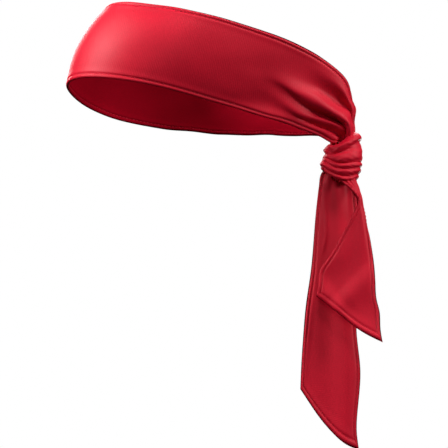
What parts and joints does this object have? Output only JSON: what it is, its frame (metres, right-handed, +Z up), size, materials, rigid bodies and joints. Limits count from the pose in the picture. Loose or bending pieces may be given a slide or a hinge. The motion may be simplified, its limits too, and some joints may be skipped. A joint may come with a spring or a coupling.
{
  "type": "sports headband",
  "caption": "Tie-on sports headband: a smooth double-layer cloth band tied at the back in one knot, with hanging tails that end in slanted points.",
  "frame": {"origin": "centre of the head opening, in the plane of the loop's lower rim", "axes": "+X to the wearer's left, +Y rearward towards the knot, +Z up; the forehead faces -Y; the rim plane drops 11.5 degrees towards the knot"},
  "size_m": [0.1576, 0.2361, 0.3322],
  "materials": {
    "outer_cloth": "satin-faced crimson stretch knit with a fine twill texture",
    "inner_cloth": "the same knit, its matt side, a deeper crimson",
    "thread": "polyester sewing thread, soft sheen"
  },
  "bodies": {
    "loop": {"loop_outer_panel": "outer_cloth", "loop_inner_panel": "inner_cloth", "loop_upper_topstitch": "thread", "loop_lower_topstitch": "thread", "knot_wrap": "outer_cloth", "knot_left_strand": "outer_cloth", "knot_right_strand": "outer_cloth"},
    "long_neck": {"long_tail_neck": "outer_cloth"},
    "long_blade": {"long_tail_left_layer": "outer_cloth", "long_tail_right_layer": "inner_cloth", "long_tail_topstitch": "thread"},
    "short_neck": {"short_tail_neck": "outer_cloth"},
    "short_blade": {"short_tail_left_layer": "outer_cloth", "short_tail_right_layer": "inner_cloth", "short_tail_topstitch": "thread"}
  },
  "joints": [
    {"name": "long_tail_swing", "type": "hinge", "parent": "loop", "child": "long_neck", "pos_m": [-0.006, 0.098, -0.0581], "axis": [1, 0, 0], "range_deg": [-25, 50]},
    {"name": "long_tail_flap", "type": "hinge", "parent": "long_neck", "child": "long_blade", "pos_m": [-0.006, 0.098, -0.0806], "axis": [0, 1, 0], "range_deg": [0, 50]},
    {"name": "short_tail_swing", "type": "hinge", "parent": "loop", "child": "short_neck", "pos_m": [0.006, 0.1135, -0.0581], "axis": [1, 0, 0], "range_deg": [-25, 50]},
    {"name": "short_tail_flap", "type": "hinge", "parent": "short_neck", "child": "short_blade", "pos_m": [0.006, 0.1135, -0.0806], "axis": [0, -1, 0], "range_deg": [0, 50]}
  ]
}
